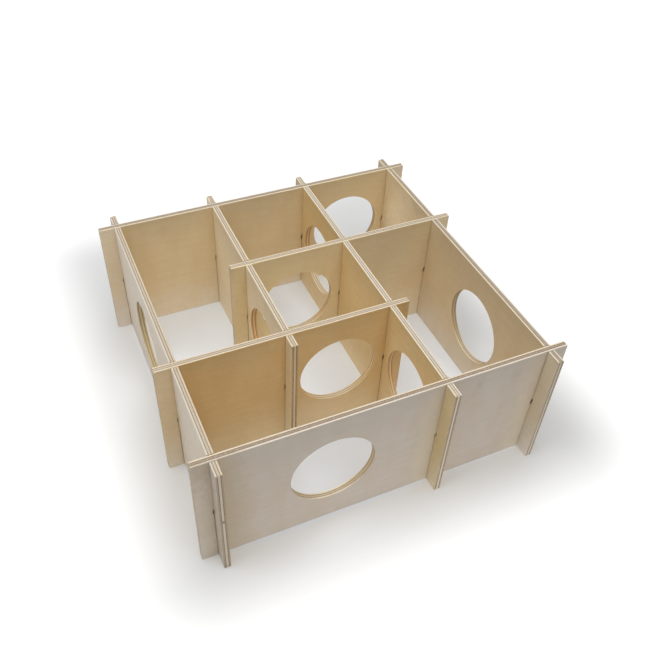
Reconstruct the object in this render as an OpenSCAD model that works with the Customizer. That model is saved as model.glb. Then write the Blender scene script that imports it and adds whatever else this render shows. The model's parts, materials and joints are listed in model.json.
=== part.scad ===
// Hamster maze: eight slotted plywood panels that cross in half laps, with round doorways between cells.
// Four depth panels stand on the floor with slots open at the top. Four across panels drop onto them
// with slots open at the bottom, and lift straight off again. Every panel is three plies.
// X runs left to right, Y front to back, Z up. The origin is at the bottom centre, and sizes are in mm.

/* [Grid] */
// Distance between neighbouring panel lines, centre to centre
cell_pitch = 100; // [92:1:130]
// Length of a panel past the centre line of its last crossing
overhang = 17.5; // [10:0.5:30]

/* [Panels] */
// Height of every panel
panel_h = 130; // [112:1:180]
// Thickness of each of the two face plies
face_ply_t = 1.8; // [1:0.1:2.5]
// Thickness of the core ply
core_ply_t = 2.4; // [1.5:0.1:4]
// Radius of the sanded corners of a panel
corner_r = 1; // [0.5:0.1:4]

/* [Doorways] */
// Diameter of the round doorways
door_d = 76; // [50:1:80]
// Height of a doorway's centre above the floor
door_z = 66; // [48:1:68]

/* [Half laps] */
// Play on each side of a panel in the slot that it stands in
slot_side_gap = 0.4; // [0.1:0.05:0.5]
// Play that each slot leaves past the middle of the panel's height
slot_end_gap = 0.25; // [0.1:0.05:0.6]
// Diameter of the cutter that leaves a round relief in the slot's inner corners
relief_d = 6; // [3:0.1:7]

/* [Hidden] */
$fn = 96;

// Panel lines are numbered 0 to 3, from the left or from the front
last_line = 3;
panel_t = 2 * face_ply_t + core_ply_t;
slot_w = panel_t + 2 * slot_side_gap;
slot_depth = panel_h / 2 + slot_end_gap;
relief_inset = relief_d / 2 * sqrt(1 / 2);
// Length by which a cut runs past the edge that it opens
cut_past = 1;

// Plies, counted from the front of an across panel and from the left of a depth panel
FIRST = 0;
CORE = 1;
LAST = 2;
PLY_T = [face_ply_t, core_ply_t, face_ply_t];
PLY_START = [-panel_t / 2, -core_ply_t / 2, core_ply_t / 2];
PLY_COLOUR = ["#d8c19a", "#a98a5e", "#d8c19a"];

// Place of a panel line, or of a point between two lines, along X or Y
function line_at(line) = (line - last_line / 2) * cell_pitch;

// Flat rectangle with its lower left corner at the origin and sanded corners
module sheet(length, height) {
    translate([corner_r, 0])
        square([length - 2 * corner_r, height]);
    translate([0, corner_r])
        square([length, height - 2 * corner_r]);
    for (x = [corner_r, length - corner_r], y = [corner_r, height - corner_r])
        translate([x, y])
            circle(r = corner_r);
}

// Slot that is open downwards at the origin, with a round relief in both inner corners
module slot() {
    translate([-slot_w / 2, -cut_past])
        square([slot_w, slot_depth + cut_past]);
    for (side = [-1, 1])
        translate([side * (slot_w / 2 - relief_inset), slot_depth - relief_inset])
            circle(d = relief_d);
}

// Slots of an across panel start at its bottom edge
module slots_from_below(crossings) {
    for (line = crossings)
        translate([line_at(line), 0])
            slot();
}

// Slots of a depth panel start at its top edge
module slots_from_above(crossings) {
    for (line = crossings)
        translate([line_at(line), panel_h])
            mirror([0, 1])
                slot();
}

// Outline of a panel from its first to its last crossing, with its doorways. Children are cut out of it.
module panel_face(crossings, doors) {
    start = line_at(crossings[0]) - overhang;
    end = line_at(crossings[len(crossings) - 1]) + overhang;
    difference() {
        translate([start, 0])
            sheet(end - start, panel_h);
        children();
        for (door = doors)
            translate([line_at(door), door_z])
                circle(d = door_d);
    }
}

// One ply of a panel that stands across the maze, on the given line along Y
module across_ply(ply, line, crossings, doors) {
    translate([0, line_at(line) + PLY_START[ply] + PLY_T[ply], 0])
        rotate([90, 0, 0])
            linear_extrude(PLY_T[ply])
                panel_face(crossings, doors)
                    slots_from_below(crossings);
}

// One ply of a panel that stands front to back, on the given line along X
module depth_ply(ply, line, crossings, doors) {
    translate([line_at(line) + PLY_START[ply], 0, 0])
        rotate([90, 0, 90])
            linear_extrude(PLY_T[ply])
                panel_face(crossings, doors)
                    slots_from_above(crossings);
}

// Across panels, from the back to the front
module back_wall(ply) {
    color(PLY_COLOUR[ply])
        across_ply(ply, line = 3, crossings = [0, 1, 2, 3], doors = [2.5]);
}

module inner_back_partition(ply) {
    color(PLY_COLOUR[ply])
        across_ply(ply, line = 2, crossings = [1, 2, 3], doors = [1.5]);
}

module inner_front_partition(ply) {
    color(PLY_COLOUR[ply])
        across_ply(ply, line = 1, crossings = [0, 1, 2], doors = [1.5]);
}

module front_wall(ply) {
    color(PLY_COLOUR[ply])
        across_ply(ply, line = 0, crossings = [0, 2, 3], doors = [1]);
}

// Depth panels, from the left to the right
module left_wall(ply) {
    color(PLY_COLOUR[ply])
        depth_ply(ply, line = 0, crossings = [0, 1, 3], doors = [2]);
}

module inner_left_partition(ply) {
    color(PLY_COLOUR[ply])
        depth_ply(ply, line = 1, crossings = [1, 2, 3], doors = [1.5]);
}

module inner_right_partition(ply) {
    color(PLY_COLOUR[ply])
        depth_ply(ply, line = 2, crossings = [0, 1, 2, 3], doors = [0.5, 2.5]);
}

module right_wall(ply) {
    color(PLY_COLOUR[ply])
        depth_ply(ply, line = 3, crossings = [0, 2, 3], doors = [1]);
}

back_wall(FIRST);  // back_wall_front_ply
back_wall(CORE);  // back_wall_core_ply
back_wall(LAST);  // back_wall_back_ply
inner_back_partition(FIRST);  // inner_back_partition_front_ply
inner_back_partition(CORE);  // inner_back_partition_core_ply
inner_back_partition(LAST);  // inner_back_partition_back_ply
inner_front_partition(FIRST);  // inner_front_partition_front_ply
inner_front_partition(CORE);  // inner_front_partition_core_ply
inner_front_partition(LAST);  // inner_front_partition_back_ply
front_wall(FIRST);  // front_wall_front_ply
front_wall(CORE);  // front_wall_core_ply
front_wall(LAST);  // front_wall_back_ply
left_wall(FIRST);  // left_wall_left_ply
left_wall(CORE);  // left_wall_core_ply
left_wall(LAST);  // left_wall_right_ply
inner_left_partition(FIRST);  // inner_left_partition_left_ply
inner_left_partition(CORE);  // inner_left_partition_core_ply
inner_left_partition(LAST);  // inner_left_partition_right_ply
inner_right_partition(FIRST);  // inner_right_partition_left_ply
inner_right_partition(CORE);  // inner_right_partition_core_ply
inner_right_partition(LAST);  // inner_right_partition_right_ply
right_wall(FIRST);  // right_wall_left_ply
right_wall(CORE);  // right_wall_core_ply
right_wall(LAST);  // right_wall_right_ply
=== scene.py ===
"""Dresses the hamster maze: eight crossed plywood panels, each a laminate of three plies.

Every ply gets a mesh of its own with eased arrises, a smooth doorway bore and a fine groove at the glue line,
in the place of its CAD node, and a plywood finish whose grain follows the ply.
"""
import json
import logging
import math
from collections.abc import Iterator
from dataclasses import dataclass, replace
from enum import Enum
from typing import NamedTuple

import bmesh
import bpy
from mathutils import Matrix, Vector

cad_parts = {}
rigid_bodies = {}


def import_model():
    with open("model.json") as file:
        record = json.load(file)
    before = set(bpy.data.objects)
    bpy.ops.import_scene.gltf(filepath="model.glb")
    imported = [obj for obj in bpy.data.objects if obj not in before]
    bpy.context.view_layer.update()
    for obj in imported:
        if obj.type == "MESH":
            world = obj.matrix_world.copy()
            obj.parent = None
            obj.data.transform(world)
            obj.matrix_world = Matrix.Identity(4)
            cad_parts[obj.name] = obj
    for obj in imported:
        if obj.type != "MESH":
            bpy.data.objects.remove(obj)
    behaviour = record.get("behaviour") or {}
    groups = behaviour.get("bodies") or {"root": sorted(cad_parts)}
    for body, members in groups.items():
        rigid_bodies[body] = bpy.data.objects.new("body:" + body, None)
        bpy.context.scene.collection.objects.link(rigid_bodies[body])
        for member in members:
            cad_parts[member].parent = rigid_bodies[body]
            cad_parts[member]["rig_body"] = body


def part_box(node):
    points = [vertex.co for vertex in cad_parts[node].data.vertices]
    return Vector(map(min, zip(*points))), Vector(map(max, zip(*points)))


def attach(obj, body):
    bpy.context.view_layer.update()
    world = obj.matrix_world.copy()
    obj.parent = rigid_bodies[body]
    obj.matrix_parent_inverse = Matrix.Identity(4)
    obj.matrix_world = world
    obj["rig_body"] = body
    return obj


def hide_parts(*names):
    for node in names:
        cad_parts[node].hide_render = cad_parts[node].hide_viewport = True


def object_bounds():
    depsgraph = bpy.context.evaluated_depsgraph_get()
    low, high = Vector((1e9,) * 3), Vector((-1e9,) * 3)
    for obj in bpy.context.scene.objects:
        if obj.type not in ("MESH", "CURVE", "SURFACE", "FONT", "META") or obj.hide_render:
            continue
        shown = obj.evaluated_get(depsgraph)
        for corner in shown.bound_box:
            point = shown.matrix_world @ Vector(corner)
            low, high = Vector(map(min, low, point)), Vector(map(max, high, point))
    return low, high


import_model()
CAD_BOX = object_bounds()

MM = 0.001

Colour = tuple[float, float, float]
Point = tuple[float, float]
Range = tuple[float, float]
Socket = bpy.types.NodeSocket
Value = Socket | float | tuple[float, ...]

# Across panels from the front, and depth panels from the left
ROWS = ("front_wall", "inner_front_partition", "inner_back_partition", "back_wall")
LINES = ("left_wall", "inner_left_partition", "inner_right_partition", "right_wall")

QUARTER_TURN = 90.0  # degrees
UNCHANGED: Colour = (1.0, 1.0, 1.0)
WHITE = (1.0, 1.0, 1.0, 1.0)

log = logging.getLogger("hamster_maze")


class Run(Enum):
    """Way that a panel stands in the maze, with the axes of its length and of its thickness."""

    ACROSS = ("X", "Y")
    DEPTH = ("Y", "X")

    @property
    def along(self) -> str:
        """Axis of the panel's length."""
        return self.value[0]

    @property
    def through(self) -> str:
        """Axis of the panel's thickness."""
        return self.value[1]


class Ply(Enum):
    """Layer of a panel, counted from its front or left side."""

    FIRST = 0
    CORE = 1
    LAST = 2


class SlotEdge(Enum):
    """Edge of a panel that its half-lap slots are open to."""

    BOTTOM = "bottom"
    TOP = "top"


class SlotShadeDepth(Enum):
    """How dark the painted shade round a slot's inner end is at a crossing, as a share of the shade colour.
    """

    FAINT = 0.10
    PLAIN = 0.45
    DEEP = 0.75


# Crossings whose painted slot shade is fainter or deeper than the rest
FAINT_CROSSINGS = (
    {"back_wall", "left_wall"},
    {"inner_front_partition", "left_wall"},
    {"inner_back_partition", "inner_left_partition"},
    {"inner_back_partition", "inner_right_partition"},
    {"front_wall", "inner_right_partition"},
)
DEEP_CROSSINGS = (
    {"back_wall", "inner_right_partition"},
    {"inner_back_partition", "right_wall"},
    {"inner_front_partition", "inner_right_partition"},
    {"front_wall", "left_wall"},
    {"front_wall", "right_wall"},
)


@dataclass(frozen=True)
class VeneerFinish:
    """Colours of one veneer, sanded and left bare.

    The face colour is that of the flat side. Near the floor it is multiplied by the painted floor light
    factor, which whitens it as painted light bounced up from the white floor. The cut colours show on edges,
    along the grain and across it. In doorways they are tinted by the bore colour at the sides and by the sill
    colour below and above. These tints are partly painted light and shade: most sills, which face up and
    down, are lighter than the sides.
    """

    name: str
    face: Colour
    long_cut: Colour
    end_cut: Colour
    bore: Colour = (0.72, 0.46, 0.155)
    sill: Colour = (0.84, 0.73, 0.52)
    painted_floor_light: Colour = UNCHANGED

    def shaded(self, factor: Colour) -> Colour:
        """Face colour with its red, green and blue each multiplied by a factor."""
        return tuple(part * share for part, share in zip(self.face, factor))


# Veneers of the faces, then of the cores, with the bore and sill colours that they share. The faces inside
# the cells have warmer, deeper-coloured veneers than the outer faces, which is partly painted light: the warm
# light that the walls bounce onto each other.
GOLDEN_BORE = (0.60, 0.49, 0.32)
AMBER_BORE = (0.88, 0.62, 0.28)
OLIVE_BORE = (0.54, 0.43, 0.18)
OLIVE_SILL = (0.46, 0.36, 0.14)
PALE = VeneerFinish(
    "pale_veneer",
    face=(0.745, 0.665, 0.56),
    long_cut=(0.70, 0.64, 0.54),
    end_cut=(0.38, 0.315, 0.24),
    bore=GOLDEN_BORE,
)
CHALK = replace(PALE, name="chalk_veneer", bore=OLIVE_BORE, sill=OLIVE_SILL)
# Its darker, warmer bore colour is painted shade in the doorways
MILK = replace(PALE, name="milk_veneer", long_cut=(0.80, 0.735, 0.63), bore=(0.48, 0.33, 0.16))
GREY = replace(PALE, name="grey_veneer", face=(0.635, 0.56, 0.48), long_cut=(0.85, 0.78, 0.675))
HONEY = VeneerFinish(
    "honey_veneer",
    face=(0.84, 0.69, 0.44),
    long_cut=(0.82, 0.74, 0.60),
    end_cut=(0.38, 0.285, 0.18),
    painted_floor_light=(1.04, 1.11, 1.36),
)
# Honey veneer with lighter end grain: painted light on the inner back partition's ends
MELLOW = replace(HONEY, name="mellow_veneer", end_cut=(0.62, 0.50, 0.34), bore=(0.62, 0.38, 0.12))
STRAW = replace(HONEY, name="straw_veneer", bore=GOLDEN_BORE)
DULL_STRAW = replace(
    HONEY, name="dull_straw_veneer", long_cut=(0.67, 0.595, 0.475), bore=OLIVE_BORE, sill=OLIVE_SILL
)
CREAM = VeneerFinish(
    "cream_veneer",
    face=(0.86, 0.75, 0.55),
    long_cut=(0.79, 0.71, 0.57),
    end_cut=(0.44, 0.29, 0.14),
    bore=(0.76, 0.45, 0.16),
)
AMBER = replace(
    HONEY, name="amber_veneer", face=(0.775, 0.555, 0.27), bore=AMBER_BORE, painted_floor_light=(1.06, 1.16, 1.42)
)
GOLD = replace(
    HONEY,
    name="gold_veneer",
    face=(0.785, 0.59, 0.30),
    long_cut=(0.85, 0.80, 0.70),
    bore=(0.78, 0.45, 0.15),
)
# Its darker, warmer bore colour is painted shade in the right wall's doorway
TAN = replace(
    HONEY, name="tan_veneer", face=(0.71, 0.58, 0.38), end_cut=(0.43, 0.36, 0.27), bore=(0.60, 0.37, 0.13)
)
LIGHT_CORE = VeneerFinish(
    "light_core", face=(0.70, 0.56, 0.39), long_cut=(0.78, 0.68, 0.55), end_cut=(0.56, 0.48, 0.375)
)
DARK_CORE = replace(
    LIGHT_CORE, name="dark_core", end_cut=(0.30, 0.235, 0.17), bore=GOLDEN_BORE, sill=(0.64, 0.55, 0.385)
)
# Its darker, warmer bore colour is painted shade in the doorways
GREY_CORE = replace(
    DARK_CORE,
    name="grey_core",
    long_cut=(0.68, 0.61, 0.51),
    end_cut=(0.37, 0.305, 0.23),
    bore=(0.52, 0.36, 0.17),
)
WALL_CORE = replace(
    LIGHT_CORE, name="wall_core", long_cut=(0.695, 0.645, 0.555), bore=OLIVE_BORE, sill=OLIVE_SILL
)
AMBER_CORE = replace(LIGHT_CORE, name="amber_core", bore=AMBER_BORE)
RICH_CORE = replace(
    LIGHT_CORE,
    name="rich_core",
    long_cut=(0.785, 0.72, 0.62),
    end_cut=(0.60, 0.55, 0.45),
    bore=(0.86, 0.53, 0.20),
)
GOLDEN_CORE = replace(
    LIGHT_CORE, name="golden_core", long_cut=(0.80, 0.66, 0.45), bore=(0.90, 0.56, 0.24)
)


@dataclass(frozen=True)
class StainOrLight:
    """Soft patch of colour on one ply, with its place and its reach along and up the panel, in mm.

    Some are marks in the wood, such as knots and smudges; the others are painted light and shade.
    A mark that is on the face alone leaves the edges as they are.
    """

    at: Point
    reach: Point
    colour: Colour = (0.40, 0.35, 0.26)
    share: float = 0.30
    ply: Ply = Ply.FIRST
    face_only: bool = False


# Marks of the across panels from the back, then of the depth panels from the left: the knots, swirl,
# smudges and stub mark are in the wood, and the rest are painted light and shade
KNOT_COLOUR = (0.74, 0.57, 0.26)
KNOTS = (
    StainOrLight((-99.5, 55.0), (8.0, 11.0), KNOT_COLOUR),
    StainOrLight((-105.5, 117.5), (7.0, 9.0), KNOT_COLOUR),
)
# Painted light on the back wall's inner face, in the right-hand cell
BACK_LIGHT = StainOrLight((105.0, 60.0), (75.0, 250.0), (0.93, 0.77, 0.48), share=0.7)
# Painted light on the middle of the inner back partition
CENTRE_LIGHT = StainOrLight((-20.0, 60.0), (110.0, 250.0), (0.95, 0.81, 0.50), share=0.8)
# Painted shade on the inner back partition, in the right-hand cell
CELL_SHADE = StainOrLight((105.0, 92.0), (75.0, 70.0), (0.68, 0.56, 0.365), share=0.6)
SWIRL = StainOrLight((-62.0, 106.0), (8.0, 11.0), (0.80, 0.50, 0.17), share=0.4)
# Painted light on the inner front partition's face under its doorway
SILL_LIGHT = StainOrLight((-14.0, 14.0), (65.0, 42.0), (0.83, 0.66, 0.42), share=0.6)
SMUDGES = (
    StainOrLight((82.0, 116.0), (6.0, 11.0), share=0.42),
    StainOrLight((118.5, 112.0), (8.0, 13.0), (0.44, 0.37, 0.27), share=0.42),
    StainOrLight((78.0, 104.0), (5.0, 8.0), share=0.28),
)
# Painted shadow: a dark line in the gap where the right wall's stub meets the front wall
JOINT_SHADOW_LINE = StainOrLight((146.8, 98.0), (1.5, 50.0), (0.30, 0.20, 0.09), share=0.8)
# Painted shade: the front wall's outer face darker towards its top
TOP_SHADE = StainOrLight((0.0, 140.0), (400.0, 60.0), (0.55, 0.485, 0.415), share=0.8, face_only=True)
# Painted shade in the corner of the front wall's face next to the left wall
END_SHADE = StainOrLight((-141.0, 65.0), (25.0, 250.0), (0.51, 0.42, 0.29), share=0.7)
# Painted light bounced off the stubs onto the front wall's face beside them
STUB_GLOWS = tuple(
    StainOrLight((along, 45.0), (24.0, 150.0), (0.71, 0.62, 0.47), share=0.9) for along in (42.0, 142.0)
)
# Painted shade at the top of the front wall's left stub
STUB_SHADE = StainOrLight((-163.0, 126.0), (24.0, 50.0), (0.52, 0.435, 0.315), share=0.6)
# Painted shade: a dark void in the left wall's core at its front end
END_VOID = StainOrLight((-167.5, 69.0), (3.0, 3.0), (0.13, 0.10, 0.07), share=0.8, ply=Ply.CORE)
# Painted shade at the inner left partition's front end
TIP_SHADE = StainOrLight((-60.0, 105.0), (13.0, 130.0), (0.74, 0.58, 0.33), share=0.55)
STUB_MARK = StainOrLight((-157.0, 60.0), (5.0, 10.0), (0.52, 0.38, 0.16))
# Painted light on the right wall's inner face, towards the back
CORNER_LIGHT = StainOrLight((115.0, 70.0), (70.0, 250.0), (0.95, 0.79, 0.52), share=0.8)


class NodeSheet:
    """Node tree of a material or of the surroundings, with short calls for the nodes that they use.

    A mix node has sockets for every kind of value. Those for colours have the numbers given here.
    """

    MIX_COLOURS = (6, 7)
    MIXED_COLOUR = 2
    NOISE_ROUGHNESS = 0.55

    def __init__(self, tree: bpy.types.NodeTree) -> None:
        """Takes a node tree and empties it."""
        self.tree = tree
        self.tree.nodes.clear()

    def add(self, kind: str, inputs: dict[str | int, Value], **settings: object) -> bpy.types.Node:
        """Adds a node.

        Args:
            kind: Blender's type name of the node.
            inputs: What each input gets, a socket to link or a value to set.
            **settings: Properties of the node, set before its inputs.

        Returns:
            The new node.
        """
        node = self.tree.nodes.new(kind)
        for key, setting in settings.items():
            setattr(node, key, setting)
        for key, value in inputs.items():
            if isinstance(value, Socket):
                self.tree.links.new(value, node.inputs[key])
            else:
                node.inputs[key].default_value = value
        return node

    def math(self, operation: str, *values: Value, clamp: bool = False) -> Socket:
        """Works out a number from one to three others, kept from 0 to 1 where clamp is true."""
        node = self.add("ShaderNodeMath", dict(enumerate(values)), operation=operation, use_clamp=clamp)
        return node.outputs[0]

    def step(self, value: Value, start: float, end: float) -> Socket:
        """Rises smoothly from 0 to 1 as a number goes from start to end, which may lie below start."""
        inputs = {"Value": value, "From Min": start, "From Max": end}
        return self.add("ShaderNodeMapRange", inputs, interpolation_type="SMOOTHSTEP").outputs["Result"]

    def mix(self, share: Value, low: Value, high: Value) -> Socket:
        """Mixes two colours.

        Args:
            share: Share of the high colour.
            low: Colour at a share of 0.
            high: Colour at a share of 1.

        Returns:
            The socket with the colour.
        """
        inputs = {0: share}
        for socket, colour in zip(self.MIX_COLOURS, (low, high)):
            inputs[socket] = (*colour, 1.0) if isinstance(colour, tuple) else colour
        return self.add("ShaderNodeMix", inputs, data_type="RGBA").outputs[self.MIXED_COLOUR]

    def noise(self, vector: Value, size: float, detail: float = 2.0) -> Socket:
        """Adds soft noise of about 0.5, with features up to that size in mm and that many finer layers."""
        inputs = {"Vector": vector, "Scale": 1.0 / size, "Detail": detail, "Roughness": self.NOISE_ROUGHNESS}
        return self.add("ShaderNodeTexNoise", inputs).outputs["Fac"]

    def scaled(self, colour: Socket, factor: Value) -> Socket:
        """Multiplies a colour by a factor for each of red, green and blue."""
        return self.add("ShaderNodeVectorMath", {0: colour, 1: factor}, operation="MULTIPLY").outputs[0]

    def combine(self, x: Value, y: Value, z: Value) -> Socket:
        """Joins three numbers into a vector."""
        return self.add("ShaderNodeCombineXYZ", {"X": x, "Y": y, "Z": z}).outputs[0]


class MaterialSheet(NodeSheet):
    """Node tree of a new material."""

    def __init__(self, name: str) -> None:
        """Starts an empty material.

        Args:
            name: Name of the material.
        """
        self.material = bpy.data.materials.new(name)
        self.material.use_nodes = True
        super().__init__(self.material.node_tree)

    def close(self, **inputs: Value) -> bpy.types.Material:
        """Adds the surface shader and the output.

        Args:
            **inputs: Inputs of the surface shader, with underscores for spaces.

        Returns:
            The finished material.
        """
        named = {key.replace("_", " "): value for key, value in inputs.items()}
        surface = self.add("ShaderNodeBsdfPrincipled", named)
        self.add("ShaderNodeOutputMaterial", {"Surface": surface.outputs[0]})
        return self.material


class PlySheet(MaterialSheet):
    """Node tree of one ply's material, with places in mm and directions told by the ply's grain.

    Facing, siding and ending are 1 where the surface looks through the panel, along it and along the grain.
    """

    def __init__(self, panel: "Panel", ply: Ply, veneer: VeneerFinish, shift: float) -> None:
        """Starts the material and finds its coordinates.

        Args:
            panel: Panel that the ply belongs to.
            ply: Layer of the panel.
            veneer: Colours of the veneer.
            shift: Distance by which the grain is moved along itself, in mm.
        """
        super().__init__(f"{panel.name}_{ply.name.lower()}_{veneer.name}")
        self.panel = panel
        self.ply = ply
        self.veneer = veneer
        place = self.add("ShaderNodeTexCoord", {}).outputs
        scaling = {0: place["Object"], "Scale": 1.0 / MM}
        self.spot = self.add("ShaderNodeVectorMath", scaling, operation="SCALE").outputs[0]
        spots = self.add("ShaderNodeSeparateXYZ", {0: self.spot}).outputs
        normals = self.add("ShaderNodeSeparateXYZ", {0: place["Normal"]}).outputs
        along, through, up = panel.run.along, panel.run.through, "Z"
        grain, cross = (up, along) if ply is Ply.CORE else (along, up)
        self.along = spots[along]
        self.through = spots[through]
        self.up = spots[up]
        self.cross = spots[cross]
        self.shifted_grain = self.math("ADD", spots[grain], shift)
        self.facing = self.math("ABSOLUTE", normals[through])
        self.siding = self.math("ABSOLUTE", normals[along])
        self.ending = self.math("ABSOLUTE", normals[grain])

    def stretched(self, stretch: float) -> Socket:
        """Coordinates that stretch a pattern along the grain by that many times."""
        return self.combine(self.math("DIVIDE", self.shifted_grain, stretch), self.cross, self.through)

    def layered(self, stretch: float) -> Socket:
        """Coordinates that stretch a pattern along the ply's edges by that many times."""
        along, up = (self.math("DIVIDE", spot, stretch) for spot in (self.along, self.up))
        return self.combine(along, self.through, up)


@dataclass(frozen=True)
class PlywoodGrain:
    """Scale and strength of the plywood's grain, with sizes in mm.

    Each pattern has a size, the number of finer layers in it, how far it is stretched along the grain, the
    range of noise in which it rises, and its share of the colour.
    """

    seed_shift: float = 173.0
    fibre_size: float = 0.55
    fibre_detail: float = 3.0
    fibre_stretch: float = 34.0
    fibre_range: Range = (0.25, 0.85)
    fibre_share: float = 0.60
    band_pitch: float = 11.0
    band_wander: float = 46.0
    band_detail: float = 1.5
    band_stretch: float = 5.0
    band_turns: float = 5.0
    band_share: float = 0.10
    figure_light: Colour = (1.015, 1.021, 1.031)
    figure_shade: Colour = (0.875, 0.82, 0.74)
    cloud_size: float = 40.0
    cloud_stretch: float = 0.35
    cloud_range: Range = (0.35, 0.75)
    cloud_share: float = 0.60
    cloud_shade: Colour = (0.94, 0.885, 0.80)
    fleck_size: float = 0.30
    fleck_detail: float = 0.0
    fleck_stretch: float = 11.0
    fleck_range: Range = (0.66, 0.80)
    fleck_share: float = 0.24
    speckle_size: float = 0.28
    speckle_stretch: float = 3.0
    speckle_range: Range = (0.15, 0.60)
    # Dark voids in the core's edges: painted shade of gaps in the core
    void_size: float = 7.0
    void_detail: float = 1.0
    void_range: Range = (0.76, 0.82)
    void_share: float = 0.45
    void_shade: Colour = (0.14, 0.10, 0.065)
    bore_range: Range = (3.0, 8.0)
    bore_side_range: Range = (0.2, 0.9)
    bore_share: float = 0.60
    painted_floor_light_range: Range = (60.0, -5.0)
    stub_range: Range = (-3.0, 6.0)
    cut_range: Range = (0.85, 0.55)
    sawn_share: float = 0.5
    end_range: Range = (0.15, 0.95)
    glue_range: Range = (0.60, 0.24)
    glue_wobble: float = 0.30
    glue_wobble_size: float = 2.5
    glue_colour: Colour = (0.28, 0.165, 0.075)
    stain_or_light_rag: float = 0.8
    stain_or_light_rag_size: float = 6.0
    stain_or_light_rag_detail: float = 3.0
    stain_or_light_range: Range = (1.4, 0.3)
    face_roughness: float = 0.56
    cut_roughness: float = 0.74
    fibre_roughness: float = 0.12
    gloss: float = 0.35
    relief: float = 0.035
    relief_strength: float = 0.5
    cut_relief: float = 1.2

    def material(self, panel: "Panel", ply: Ply, veneer: VeneerFinish, seed: int) -> bpy.types.Material:
        """Makes the material of one ply.

        Args:
            panel: Panel that the ply belongs to.
            ply: Layer of the panel.
            veneer: Colours of the veneer.
            seed: Number that no other ply has, which moves the grain.

        Returns:
            The ply's material.
        """
        sheet = PlySheet(panel, ply, veneer, self.seed_shift * seed)
        fibre = sheet.noise(sheet.stretched(self.fibre_stretch), self.fibre_size, self.fibre_detail)
        speckle = sheet.noise(sheet.layered(self.speckle_stretch), self.speckle_size)
        cut = sheet.step(sheet.facing, *self.cut_range)
        colour = sheet.mix(cut, self.face_colour(sheet, fibre), self.cut_colour(sheet, fibre, speckle))
        for stain_or_light in panel.stains_and_light_of(ply):
            colour = self.stained_or_lit(sheet, colour, stain_or_light)
        for name in panel.crosses:
            colour = self.slot_shaded(sheet, colour, name)
        colour = sheet.mix(self.glue_line(sheet), colour, self.glue_colour)

        smoothest = self.face_roughness - self.fibre_roughness / 2
        roughness = sheet.math("MULTIPLY_ADD", cut, self.cut_roughness - self.face_roughness, smoothest)
        roughness = sheet.math("MULTIPLY_ADD", fibre, self.fibre_roughness, roughness)
        height = sheet.math("MULTIPLY_ADD", sheet.math("MULTIPLY", cut, speckle), self.cut_relief, fibre)
        bumps = {"Height": height, "Strength": self.relief_strength, "Distance": self.relief * MM}
        normal = sheet.add("ShaderNodeBump", bumps).outputs[0]
        gloss = self.gloss
        return sheet.close(Base_Color=colour, Roughness=roughness, Normal=normal, Specular_IOR_Level=gloss)

    def face_colour(self, sheet: PlySheet, fibre: Socket) -> Socket:
        """Colours the flat side: fine fibres, faint growth bands, upright clouds and short flecks, with
        painted light near the floor and painted light and shade on the stubs.

        Args:
            sheet: Node tree of the ply's material.
            fibre: Noise of the fibres.

        Returns:
            The socket with the colour.
        """
        veneer = sheet.veneer
        wander = sheet.noise(sheet.stretched(self.band_stretch), self.band_wander, self.band_detail)
        rows = sheet.math("DIVIDE", sheet.cross, self.band_pitch)
        turns = sheet.math("MULTIPLY_ADD", wander, self.band_turns, rows)
        band = sheet.math("SINE", sheet.math("MULTIPLY", turns, math.tau))
        figure = sheet.math("MULTIPLY_ADD", band, self.band_share, sheet.step(fibre, *self.fibre_range))
        figure = sheet.math("MULTIPLY", figure, self.fibre_share, clamp=True)
        colour = sheet.mix(figure, veneer.shaded(self.figure_light), veneer.shaded(self.figure_shade))
        clouds = sheet.noise(sheet.stretched(self.cloud_stretch), self.cloud_size)
        clouded = sheet.math("MULTIPLY", sheet.step(clouds, *self.cloud_range), self.cloud_share)
        colour = sheet.mix(clouded, colour, veneer.shaded(self.cloud_shade))
        flecks = sheet.noise(sheet.stretched(self.fleck_stretch), self.fleck_size, self.fleck_detail)
        fleck = sheet.math("MULTIPLY", sheet.step(flecks, *self.fleck_range), self.fleck_share)
        colour = sheet.mix(fleck, colour, veneer.end_cut)
        # Painted light: the face whitens towards the floor, as if lit from the white floor below
        near_floor = sheet.step(sheet.up, *self.painted_floor_light_range)
        colour = sheet.scaled(colour, sheet.mix(near_floor, UNCHANGED, veneer.painted_floor_light))
        return self.stub_lit_and_shaded(sheet, colour) if sheet.ply is Ply.FIRST else colour

    def stub_lit_and_shaded(self, sheet: PlySheet, colour: Socket) -> Socket:
        """Changes a colour on the stubs that stick out past the outer walls, as painted light and shade.

        Args:
            sheet: Node tree of the ply's material.
            colour: Colour between the outer walls.

        Returns:
            The socket with the colour.
        """
        wall = max(abs(sheet.panel.crossing(name)) for name in sheet.panel.crosses)
        away = sheet.math("ABSOLUTE", sheet.along)
        outside = sheet.step(away, *(wall + shift for shift in self.stub_range))
        return sheet.scaled(colour, sheet.mix(outside, UNCHANGED, sheet.panel.stub_light_and_shade))

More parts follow.
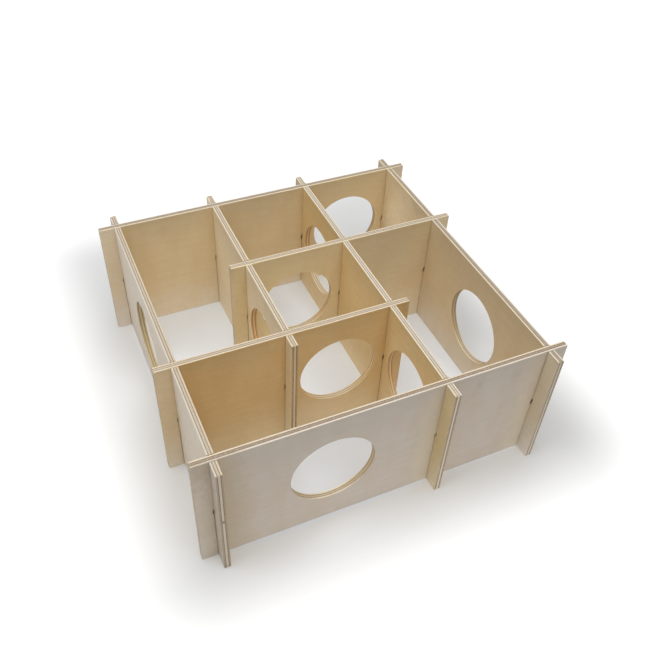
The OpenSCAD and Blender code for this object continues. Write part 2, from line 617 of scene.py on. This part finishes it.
    def cut_colour(self, sheet: PlySheet, fibre: Socket, speckle: Socket) -> Socket:
        """Colours the edges: light along the grain, dark and speckled across it, with dark voids in the core,
        painted shade of gaps that the mesh does not cut.

        Args:
            sheet: Node tree of the ply's material.
            fibre: Noise of the fibres.
            speckle: Noise of the pores.

        Returns:
            The socket with the colour.
        """
        veneer = sheet.veneer
        end = sheet.step(sheet.ending, *self.end_range)
        pores = sheet.math("MULTIPLY", end, sheet.step(speckle, *self.speckle_range))
        sawn = sheet.mix(sheet.math("MULTIPLY", fibre, self.sawn_share), veneer.long_cut, veneer.face)
        colour = sheet.mix(pores, sawn, veneer.end_cut)
        upright = sheet.step(sheet.siding, *self.bore_side_range)
        bore = sheet.mix(upright, veneer.sill, veneer.bore)
        colour = sheet.mix(self.bored(sheet), colour, bore)
        if sheet.ply is not Ply.CORE:
            return colour
        voids = sheet.noise(sheet.spot, self.void_size, self.void_detail)
        void = sheet.step(voids, *self.void_range)
        return sheet.mix(sheet.math("MULTIPLY", void, self.void_share), colour, self.void_shade)

    def bored(self, sheet: PlySheet) -> Socket:
        """Finds the cut faces inside the panel, away from its outer edges.

        Args:
            sheet: Node tree of the ply's material.

        Returns:
            The socket with the bore colour's share.
        """
        depths = []
        for spot, axis in ((sheet.along, sheet.panel.run.along), (sheet.up, "Z")):
            first, last = sheet.panel.span(Ply.CORE, axis)
            away = sheet.math("ABSOLUTE", sheet.math("SUBTRACT", spot, (first + last) / 2))
            depths.append(sheet.math("SUBTRACT", (last - first) / 2, away))
        inside = sheet.step(sheet.math("MINIMUM", *depths), *self.bore_range)
        return sheet.math("MULTIPLY", inside, self.bore_share)

    def glue_line(self, sheet: PlySheet) -> Socket:
        """Finds the thin dark lines of glue where two plies meet.

        Args:
            sheet: Node tree of the ply's material.

        Returns:
            The socket with the glue's share of the colour.
        """
        first, last = sheet.panel.span(Ply.CORE, sheet.panel.run.through)
        away = sheet.math("ABSOLUTE", sheet.math("SUBTRACT", sheet.through, (first + last) / 2))
        gap = sheet.math("ABSOLUTE", sheet.math("SUBTRACT", away, (last - first) / 2))
        wobble = sheet.noise(sheet.spot, self.glue_wobble_size)
        uneven = sheet.math("MULTIPLY_ADD", wobble, self.glue_wobble, gap)
        return sheet.step(uneven, *self.glue_range)

    def slot_shaded(self, sheet: PlySheet, colour: Socket, crossed: str) -> Socket:
        """Darkens a colour round the inner end of a slot: painted shade of the gap and the reliefs.

        Args:
            sheet: Node tree of the ply's material.
            colour: Colour without the shade.
            crossed: Name of the panel that stands in the slot.

        Returns:
            The socket with the colour.
        """
        panel = sheet.panel
        lap = panel.lap
        middle = sum(panel.span(Ply.CORE, "Z")) / 2
        beside = sheet.math("ABSOLUTE", sheet.math("SUBTRACT", sheet.along, panel.crossing(crossed)))
        above = sheet.math("ABSOLUTE", sheet.math("SUBTRACT", sheet.up, middle))
        strip = sheet.step(beside, *lap.slot_shade_along)
        near = sheet.math("MULTIPLY", strip, sheet.step(above, *lap.slot_shade_up))
        share = sheet.math("MULTIPLY", near, panel.slot_shade(crossed).value)
        return sheet.mix(share, colour, lap.slot_shade_colour)

    def stained_or_lit(self, sheet: PlySheet, colour: Socket, stain_or_light: StainOrLight) -> Socket:
        """Marks a colour at one spot of a ply, with a mark in the wood or with painted light or shade.

        Args:
            sheet: Node tree of the ply's material.
            colour: Colour without the mark.
            stain_or_light: The mark.

        Returns:
            The socket with the marked colour.
        """
        squares = []
        for spot, middle, reach in zip((sheet.along, sheet.up), stain_or_light.at, stain_or_light.reach):
            part = sheet.math("DIVIDE", sheet.math("SUBTRACT", spot, middle), reach)
            squares.append(sheet.math("MULTIPLY", part, part))
        away = sheet.math("SQRT", sheet.math("ADD", *squares))
        ragged = sheet.noise(sheet.spot, self.stain_or_light_rag_size, self.stain_or_light_rag_detail)
        edge = sheet.math("MULTIPLY_ADD", ragged, self.stain_or_light_rag, away)
        share = sheet.math("MULTIPLY", sheet.step(edge, *self.stain_or_light_range), stain_or_light.share)
        if stain_or_light.face_only:
            share = sheet.math("MULTIPLY", share, sheet.step(sheet.facing, *reversed(self.cut_range)))
        return sheet.mix(share, colour, stain_or_light.colour)


class EdgePoint(NamedTuple):
    """Point of an outline along and up a panel, in mm, with the share of the arris that is eased there."""

    place: Vector
    easing: float = 1.0


@dataclass(frozen=True)
class HalfLap:
    """Slot that a panel has at each crossing, in mm, with a round relief in both inner corners.

    The slot leaves side play on both sides of the panel in it, and reaches past the middle of its own panel's
    height by the end play. The cutter is so wide that the two reliefs meet over the middle of the slot. Their
    arcs start on the slot's sides, at an angle in degrees. The slot's arrises stay sharp, and the wood round
    its inner end is darkened with painted shade, the shadow in the gap and the reliefs.
    """

    side_play: float = 0.4
    end_play: float = 0.25
    relief_radius: float = 3.0
    relief_start: float = 225.0
    arc_steps: int = 18
    mouth: float = 1.0
    easing: float = 0.25
    # Reach and colour of the painted shade round the slot's inner end
    slot_shade_along: Range = (4.6, 3.6)
    slot_shade_up: Range = (4.6, 1.6)
    slot_shade_colour: Colour = (0.13, 0.075, 0.02)

    def outline(self, centre: float, thickness: float, height: float) -> Iterator[EdgePoint]:
        """Walks round a slot that is open downwards, from its left mouth to its right one.

        Args:
            centre: Place of the slot along the panel.
            thickness: Thickness of the panels, which are alike.
            height: Height of the panels.

        Yields:
            Points of the outline.
        """
        half = thickness / 2 + self.side_play
        depth = height / 2 + self.end_play
        inset = self.relief_radius * math.sqrt(0.5)
        spread = half - inset
        start = math.radians(self.relief_start)
        meeting = math.acos(spread / self.relief_radius)
        left = [(-half, 0.0), (-half, self.mouth)]
        for step in range(self.arc_steps + 1):
            turn = start + (meeting - start) * step / self.arc_steps
            rise = depth - inset + self.relief_radius * math.sin(turn)
            left.append((self.relief_radius * math.cos(turn) - spread, rise))
        right = [(-along, up) for along, up in reversed(left[:-1])]
        for along, up in left + right:
            yield EdgePoint(Vector((centre + along, up)), self.easing if up else 1.0)


@dataclass(frozen=True)
class Doorway:
    """Round doorway halfway between two crossing panels, in mm."""

    between: tuple[str, str]
    diameter: float = 76.0
    height: float = 66.0
    arc_steps: int = 160


@dataclass
class Panel:
    """Plywood panel of three plies that crosses others in half laps. Its place comes from the frame."""

    name: str
    run: Run
    crosses: tuple[str, ...]
    doorways: tuple[Doorway, ...]
    veneers: tuple[VeneerFinish, VeneerFinish, VeneerFinish]
    stains_and_light: tuple[StainOrLight, ...] = ()
    # Painted light and shade on the stubs past the outer walls, as factors of the first face's colour
    stub_light_and_shade: Colour = UNCHANGED
    lap: HalfLap = HalfLap()
    depth_body: str = "depth_panels"
    corner_radius: float = 1.0
    corner_steps: int = 6
    arris: float = 0.4
    arris_steps: int = 4
    groove: float = 0.12
    sharp_angle: float = 40.0

    @property
    def body(self) -> str:
        """Body that the panel rides on: across panels lift off one by one, depth panels stay together."""
        return self.name if self.run is Run.ACROSS else self.depth_body

    @property
    def slot_edge(self) -> SlotEdge:
        """Across panels drop onto the depth panels, so their slots are open below."""
        return SlotEdge.BOTTOM if self.run is Run.ACROSS else SlotEdge.TOP

    def node(self, ply: Ply) -> str:
        """Name of the CAD node of one ply."""
        ends = ("front", "core", "back") if self.run is Run.ACROSS else ("left", "core", "right")
        return f"{self.name}_{ends[ply.value]}_ply"

    def slot_shade(self, crossed: str) -> SlotShadeDepth:
        """Painted shade round the slot at the crossing with another panel.

        Args:
            crossed: Name of the other panel.

        Returns:
            How dark it is.
        """
        crossing = {self.name, crossed}
        if crossing in FAINT_CROSSINGS:
            return SlotShadeDepth.FAINT
        return SlotShadeDepth.DEEP if crossing in DEEP_CROSSINGS else SlotShadeDepth.PLAIN

    def stains_and_light_of(self, ply: Ply) -> list[StainOrLight]:
        """Stains and painted light and shade of one ply."""
        return [stain_or_light for stain_or_light in self.stains_and_light if stain_or_light.ply is ply]

    def span(self, ply: Ply, axis: str) -> Range:
        """Lowest and highest place of one ply along an axis.

        Args:
            ply: Layer of the panel.
            axis: X, Y or Z.

        Returns:
            The two places in mm.
        """
        low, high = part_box(self.node(ply))
        index = "XYZ".index(axis)
        return low[index] / MM, high[index] / MM

    def crossing(self, name: str) -> float:
        """Place along this panel where it crosses another.

        Args:
            name: Name of the other panel.

        Returns:
            The place in mm.
        """
        low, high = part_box(f"{name}_core_ply")
        index = "XYZ".index(self.run.along)
        return (low[index] + high[index]) / 2 / MM

    def corner(self, centre: Point, first_turn: float) -> Iterator[EdgePoint]:
        """Walks round one sanded corner of the panel.

        Args:
            centre: Centre of the corner's arc.
            first_turn: Angle in degrees at which the quarter turn starts.

        Yields:
            Points of the arc.
        """
        for step in range(self.corner_steps + 1):
            turn = math.radians(first_turn + QUARTER_TURN * step / self.corner_steps)
            yield EdgePoint(Vector(centre) + self.corner_radius * Vector((math.cos(turn), math.sin(turn))))

    def outer_loop(self) -> list[EdgePoint]:
        """Outline of the panel with its slots.

        Returns:
            Points with the wood on their left side.
        """
        left, right = self.span(Ply.CORE, self.run.along)
        bottom, top = self.span(Ply.CORE, "Z")
        thickness = self.span(Ply.LAST, self.run.through)[1] - self.span(Ply.FIRST, self.run.through)[0]
        radius = self.corner_radius
        points = list(self.corner((left + radius, bottom + radius), 180.0))
        for name in self.crosses:
            points += self.lap.outline(self.crossing(name), thickness, top - bottom)
        points += self.corner((right - radius, bottom + radius), 270.0)
        points += self.corner((right - radius, top - radius), 0.0)
        points += self.corner((left + radius, top - radius), 90.0)
        if self.slot_edge is SlotEdge.BOTTOM:
            return points
        turned = reversed(points)
        return [EdgePoint(Vector((spot.x, bottom + top - spot.y)), easing) for spot, easing in turned]

    def door_loop(self, door: Doorway) -> list[EdgePoint]:
        """Outline of a doorway.

        Args:
            door: The doorway.

        Returns:
            Points of the circle, clockwise, so that the wood is on their left side.
        """
        centre = Vector((sum(self.crossing(name) for name in door.between) / 2, door.height))
        radius = door.diameter / 2
        turns = [-math.tau * step / door.arc_steps for step in range(door.arc_steps)]
        return [EdgePoint(centre + radius * Vector((math.cos(turn), math.sin(turn)))) for turn in turns]

    def edge_profile(self, ply: Ply) -> list[Point]:
        """Section of a ply's edge, from its first side to its last.

        Args:
            ply: Layer of the panel.

        Returns:
            Pairs of the place through the panel and the inset from the outline, in mm.
        """
        first, last = self.span(ply, self.run.through)
        steps = range(self.arris_steps + 1)
        turns = [math.radians(QUARTER_TURN * step / self.arris_steps) for step in steps]
        rounded = [(self.arris * (1 - math.cos(turn)), self.arris * (1 - math.sin(turn))) for turn in turns]
        grooved = [(0.0, self.groove), (self.groove, 0.0)]
        start = rounded if ply is Ply.FIRST else grooved
        end = rounded if ply is Ply.LAST else grooved
        opening = [(first + into, inset) for into, inset in start]
        return opening + [(last - into, inset) for into, inset in reversed(end)]

    def place(self, flat: Vector, through: float) -> Vector:
        """Takes a point of the panel's flat outline to the frame.

        Args:
            flat: Place along and up the panel, in mm.
            through: Place through the panel, in mm.

        Returns:
            The point in the frame, in mm.
        """
        if self.run is Run.ACROSS:
            return Vector((flat.x, through, flat.y))
        return Vector((through, flat.x, flat.y))

    def mesh(self, ply: Ply, name: str) -> bpy.types.Mesh:
        """Builds the mesh of one ply.

        Args:
            ply: Layer of the panel.
            name: Name of the mesh.

        Returns:
            A closed mesh in metres.
        """
        work = bmesh.new()
        profile = self.edge_profile(ply)
        caps: tuple[list[bmesh.types.BMEdge], list[bmesh.types.BMEdge]] = ([], [])
        for loop in [self.outer_loop(), *(self.door_loop(door) for door in self.doorways)]:
            ways = [point.easing * way for point, way in zip(loop, inward([point.place for point in loop]))]
            rings = []
            for through, inset in profile:
                spots = [point.place + inset * way for point, way in zip(loop, ways)]
                rings.append([work.verts.new(self.place(spot, through)) for spot in spots])
            for ring, following in zip(rings, rings[1:]):
                for one in range(len(loop)):
                    two = (one + 1) % len(loop)
                    work.faces.new((ring[one], ring[two], following[two], following[one]))
            for cap, ring in zip(caps, (rings[0], rings[-1])):
                members = set(ring)
                cap += [edge for vert in ring for edge in vert.link_edges if edge.other_vert(vert) in members]
        for cap in caps:
            bmesh.ops.triangle_fill(work, edges=list(dict.fromkeys(cap)), use_beauty=True)
        bmesh.ops.recalc_face_normals(work, faces=work.faces)
        bmesh.ops.scale(work, vec=(MM, MM, MM), verts=work.verts)
        mesh = bpy.data.meshes.new(name)
        work.to_mesh(mesh)
        work.free()
        mesh.shade_smooth()
        mesh.set_sharp_from_angle(angle=math.radians(self.sharp_angle))
        return mesh

    def build(self, grain: PlywoodGrain, seeds: Iterator[int]) -> Iterator[bpy.types.Object]:
        """Makes and dresses the panel's three plies.

        Args:
            grain: Grain of the plywood.
            seeds: Numbers that move the grain from ply to ply.

        Yields:
            The pieces.
        """
        for ply, veneer in zip(Ply, self.veneers):
            node = self.node(ply)
            name = node.replace("_ply", "_veneer")
            piece = bpy.data.objects.new(name, self.mesh(ply, name))
            bpy.context.scene.collection.objects.link(piece)
            shading = piece.modifiers.new("even_shading", "WEIGHTED_NORMAL")
            shading.keep_sharp = True
            piece.data.materials.append(grain.material(self, ply, veneer, next(seeds)))
            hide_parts(node)
            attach(piece, self.body)
            yield piece


def inward(loop: list[Vector]) -> list[Vector]:
    """Ways into the wood at the points of an outline, long enough to move both sides by one.

    Args:
        loop: Outline with the wood on its left side.

    Returns:
        One vector for each point.
    """
    sides = [(loop[(index + 1) % len(loop)] - point).normalized() for index, point in enumerate(loop)]
    ways = [Vector((-side.y, side.x)) for side in sides]
    return [(ways[index - 1] + way) / (1.0 + ways[index - 1].dot(way)) for index, way in enumerate(ways)]


@dataclass
class Maze:
    """The whole maze: four across panels that lift off four depth panels."""

    grain: PlywoodGrain = PlywoodGrain()

    def panels(self) -> list[Panel]:
        """Lists the panels, across ones from the back and depth ones from the left.

        Returns:
            The eight panels.
        """
        return [
            Panel(
                "back_wall",
                Run.ACROSS,
                crosses=LINES,
                doorways=(Doorway(LINES[2:]),),
                veneers=(HONEY, GREY_CORE, MILK),
                stains_and_light=(*KNOTS, BACK_LIGHT),
                stub_light_and_shade=(1.0, 1.02, 1.14),
            ),
            Panel(
                "inner_back_partition",
                Run.ACROSS,
                crosses=LINES[1:],
                doorways=(Doorway(LINES[1:3]),),
                veneers=(MELLOW, LIGHT_CORE, MELLOW),
                stains_and_light=(CENTRE_LIGHT, CELL_SHADE),
            ),
            Panel(
                "inner_front_partition",
                Run.ACROSS,
                crosses=LINES[:3],
                doorways=(Doorway(LINES[1:3]),),
                veneers=(AMBER, AMBER_CORE, AMBER),
                stains_and_light=(SWIRL, SILL_LIGHT),
                stub_light_and_shade=(1.02, 1.14, 1.50),
            ),
            Panel(
                "front_wall",
                Run.ACROSS,
                crosses=(LINES[0], *LINES[2:]),
                doorways=(Doorway((LINES[0], LINES[2])),),
                veneers=(GREY, DARK_CORE, STRAW),
                stains_and_light=(*SMUDGES, JOINT_SHADOW_LINE, TOP_SHADE, END_SHADE, *STUB_GLOWS, STUB_SHADE),
                stub_light_and_shade=(1.17, 1.18, 1.17),
            ),
            Panel(
                "left_wall",
                Run.DEPTH,
                crosses=(*ROWS[:2], ROWS[3]),
                doorways=(Doorway((ROWS[1], ROWS[3])),),
                veneers=(CHALK, WALL_CORE, DULL_STRAW),
                stains_and_light=(END_VOID,),
                stub_light_and_shade=(0.77, 0.76, 0.75),
            ),
            Panel(
                "inner_left_partition",
                Run.DEPTH,
                crosses=ROWS[1:],
                doorways=(Doorway(ROWS[1:3]),),
                veneers=(CREAM, GOLDEN_CORE, CREAM),
                stains_and_light=(TIP_SHADE,),
            ),
            Panel(
                "inner_right_partition",
                Run.DEPTH,
                crosses=ROWS,
                doorways=(Doorway(ROWS[:2]), Doorway(ROWS[2:])),
                veneers=(GOLD, RICH_CORE, GOLD),
                stains_and_light=(STUB_MARK,),
                stub_light_and_shade=(0.80, 0.84, 0.93),
            ),
            Panel(
                "right_wall",
                Run.DEPTH,
                crosses=(ROWS[0], *ROWS[2:]),
                doorways=(Doorway((ROWS[0], ROWS[2])),),
                veneers=(TAN, GREY_CORE, MILK),
                stains_and_light=(CORNER_LIGHT,),
                stub_light_and_shade=(0.88, 0.92, 1.03),
            ),
        ]

    def build(self) -> Iterator[bpy.types.Object]:
        """Makes every piece of the maze.

        Yields:
            The pieces.
        """
        panels = self.panels()
        seeds = iter(range(1, len(panels) * len(Ply) + 1))
        for panel in panels:
            yield from panel.build(self.grain, seeds)


@dataclass(frozen=True)
class Softbox:
    """Large soft lamp that looks at the middle of the maze, in metres and watts."""

    name: str
    place: tuple[float, float, float]
    size: float
    power: float

    def build(self, target: Vector) -> bpy.types.Object:
        """Makes the lamp.

        Args:
            target: Point that it looks at.

        Returns:
            The lamp.
        """
        lamp = bpy.data.lights.new(self.name, "AREA")
        lamp.size = self.size
        lamp.energy = self.power
        box = bpy.data.objects.new(self.name, lamp)
        box.location = self.place
        box.rotation_euler = (target - box.location).to_track_quat("-Z", "Y").to_euler()
        bpy.context.scene.collection.objects.link(box)
        return box


@dataclass(frozen=True)
class FloorPatch:
    """Rectangle of the floor with soft edges and corners, in metres."""

    left: float
    right: float
    front: float
    back: float
    fade: float

    @classmethod
    def inside(cls, left: str, right: str, front: str, back: str, fade: float) -> "FloorPatch":
        """Takes the floor between the facing sides of four panels.

        Args:
            left: Name of the depth panel on its left.
            right: Name of the depth panel on its right.
            front: Name of the across panel before it.
            back: Name of the across panel behind it.
            fade: Width of its soft edge.

        Returns:
            The patch.
        """
        return cls(
            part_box(f"{left}_right_ply")[1].x,
            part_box(f"{right}_left_ply")[0].x,
            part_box(f"{front}_back_ply")[1].y,
            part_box(f"{back}_front_ply")[0].y,
            fade,
        )

    def share(self, sheet: NodeSheet) -> Socket:
        """Finds the points in the patch.

        Args:
            sheet: Node tree of the floor.

        Returns:
            The socket with 1 in the patch, falling to 0 outside its edges.
        """
        spot = sheet.add("ShaderNodeTexCoord", {}).outputs["Object"]
        place = sheet.add("ShaderNodeSeparateXYZ", {0: spot}).outputs
        squares = []
        for axis, low, high in (("X", self.left, self.right), ("Y", self.front, self.back)):
            below = sheet.math("SUBTRACT", low, place[axis])
            above = sheet.math("SUBTRACT", place[axis], high)
            beyond = sheet.math("MAXIMUM", sheet.math("MAXIMUM", below, above), 0.0)
            squares.append(sheet.math("MULTIPLY", beyond, beyond))
        away = sheet.math("SQRT", sheet.math("ADD", *squares))
        return sheet.step(away, self.fade, 0.0)


@dataclass(frozen=True)
class Studio:
    """Plain pale floor, soft light and white surroundings, in metres.

    The floor looks whiter outside the shaded patch, and quite white far off. It is painted cooler in the
    cells, to offset the warm light that the wood bounces onto it, and darker in the large cell behind the
    front wall, as painted shade. It lights the maze a little more than a matt floor would, most of all from
    the patch along the front.
    """

    floor_side: float = 14.0
    floor_colour: Colour = (0.84, 0.845, 0.845)
    # Cooler floor colour in the cells, offsetting the warm light bounced off the wood
    cell_colour: Colour = (0.865, 0.92, 1.0)
    cell_glow: float = 0.035
    cell_fade: float = 0.012
    # Painted shade on the floor of the large cell behind the front wall
    dull_colour: Colour = (0.775, 0.825, 0.895)
    floor_roughness: float = 0.9
    floor_glow: float = 0.42
    shaded_patch: FloorPatch = FloorPatch(left=-0.16, right=0.19, front=-0.16, back=0.26, fade=0.10)
    far_glow: float = 0.60
    far_range: Range = (0.5, 1.6)
    floor_bounce: float = 0.10
    front_bounce: float = 0.36
    front_patch: FloorPatch = FloorPatch(left=-0.14, right=0.17, front=-0.27, back=-0.155, fade=0.01)
    sky_strength: float = 0.02
    softboxes: tuple[Softbox, ...] = (
        Softbox("overhead_softbox", (0.0, 0.0, 1.5), size=2.2, power=25.0),
        Softbox("front_softbox", (0.0, -1.3, 1.7), size=1.2, power=5.0),
        Softbox("left_softbox", (-1.3, 0.0, 1.7), size=1.2, power=9.0),
    )

    def seen(self, sheet: NodeSheet) -> Socket:
        """Finds the rays that show the surroundings: seen directly, in gloss or through glass.

        Args:
            sheet: Node tree of the surroundings or of the floor.

        Returns:
            The socket with 1 for those rays and 0 for others.
        """
        rays = sheet.add("ShaderNodeLightPath", {}).outputs
        gloss = sheet.math("MAXIMUM", rays["Is Camera Ray"], rays["Is Glossy Ray"])
        return sheet.math("MAXIMUM", gloss, rays["Is Transmission Ray"])

    def glow(self, sheet: NodeSheet, cells: Socket) -> Socket:
        """Finds how much the floor is whitened: outside the shaded patch, and a little in some cells.

        Args:
            sheet: Node tree of the floor.
            cells: The socket with 1 in those cells.

        Returns:
            The socket with the strength.
        """
        around = sheet.math("SUBTRACT", 1.0, self.shaded_patch.share(sheet))
        spot = sheet.add("ShaderNodeTexCoord", {}).outputs["Object"]
        away = sheet.add("ShaderNodeVectorMath", {0: spot}, operation="LENGTH").outputs["Value"]
        far = sheet.step(away, *self.far_range)
        strength = sheet.math("MULTIPLY_ADD", far, self.far_glow, self.floor_glow)
        return sheet.math("MULTIPLY_ADD", cells, self.cell_glow, sheet.math("MULTIPLY", around, strength))

    def floor_material(self) -> bpy.types.Material:
        """Makes the floor's material.

        Returns:
            The material.
        """
        sheet = MaterialSheet("pale_floor")
        cells = FloorPatch.inside(LINES[0], LINES[3], ROWS[0], ROWS[3], self.cell_fade).share(sheet)
        dull = FloorPatch.inside(LINES[0], LINES[2], ROWS[0], ROWS[1], self.cell_fade).share(sheet)
        colour = sheet.mix(dull, sheet.mix(cells, self.floor_colour, self.cell_colour), self.dull_colour)
        glow = self.glow(sheet, sheet.math("SUBTRACT", cells, dull, clamp=True))
        front = self.front_patch.share(sheet)
        bounce = sheet.math("MULTIPLY_ADD", front, self.front_bounce, self.floor_bounce)
        seen = self.seen(sheet)
        unseen = sheet.math("SUBTRACT", 1.0, seen)
        return sheet.close(
            Base_Color=colour,
            Roughness=self.floor_roughness,
            Specular_IOR_Level=0.0,
            Emission_Color=WHITE,
            Emission_Strength=sheet.math("MULTIPLY_ADD", unseen, bounce, sheet.math("MULTIPLY", seen, glow)),
        )

    def floor(self) -> bpy.types.Object:
        """Makes the floor, which keeps the maze's shadow.

        Returns:
            The floor.
        """
        half = self.floor_side / 2
        mesh = bpy.data.meshes.new("floor")
        corners = [(-half, -half, 0.0), (half, -half, 0.0), (half, half, 0.0), (-half, half, 0.0)]
        mesh.from_pydata(corners, [], [(0, 1, 2, 3)])
        mesh.materials.append(self.floor_material())
        floor = bpy.data.objects.new("floor", mesh)
        bpy.context.scene.collection.objects.link(floor)
        return floor

    def sky(self) -> bpy.types.World:
        """Makes the even light all round, which looks white.

        Returns:
            The surroundings.
        """
        world = bpy.data.worlds.new("white_surroundings")
        world.use_nodes = True
        sheet = NodeSheet(world.node_tree)
        light = sheet.add("ShaderNodeBackground", {"Color": WHITE, "Strength": self.sky_strength})
        backdrop = sheet.add("ShaderNodeBackground", {"Color": WHITE, "Strength": 1.0})
        shares = {0: self.seen(sheet), 1: light.outputs[0], 2: backdrop.outputs[0]}
        shown = sheet.add("ShaderNodeMixShader", shares)
        sheet.add("ShaderNodeOutputWorld", {"Surface": shown.outputs[0]})
        bpy.context.scene.world = world
        return world

    def build(self, target: Vector) -> None:
        """Makes the floor, the surroundings and the lamps.

        Args:
            target: Point that the lamps look at.
        """
        self.floor()
        self.sky()
        for softbox in self.softboxes:
            softbox.build(target)
            log.info("lamp %s", softbox.name)


@dataclass(frozen=True)
class PhotoCamera:
    """Camera at the photograph's viewpoint, in metres, degrees and mm of lens."""

    place: tuple[float, float, float] = (-0.2270, -0.4847, 0.5940)
    turn: float = 26.027
    tilt: float = 44.023
    roll: float = 3.021
    lens: float = 42.74

    def build(self) -> bpy.types.Object:
        """Makes the camera and gives it to the scene.

        Returns:
            The camera.
        """
        camera = bpy.data.objects.new("photo_camera", bpy.data.cameras.new("photo_camera"))
        camera.data.lens = self.lens
        camera.matrix_world = (
            Matrix.Translation(self.place)
            @ Matrix.Rotation(math.radians(-self.turn), 4, "Z")
            @ Matrix.Rotation(math.radians(QUARTER_TURN - self.tilt), 4, "X")
            @ Matrix.Rotation(math.radians(self.roll), 4, "Z")
        )
        bpy.context.scene.collection.objects.link(camera)
        bpy.context.scene.camera = camera
        return camera


def main() -> None:
    """Builds the maze, its studio and the camera."""
    logging.basicConfig(level=logging.INFO, format="%(name)s: %(message)s")
    bpy.context.scene.view_settings.view_transform = "Standard"
    PhotoCamera().build()
    Studio().build(target=(CAD_BOX[0] + CAD_BOX[1]) / 2)
    for piece in Maze().build():
        log.info("%s rides on %s, %d faces", piece.name, piece["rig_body"], len(piece.data.polygons))


if __name__ == "__main__":
    main()
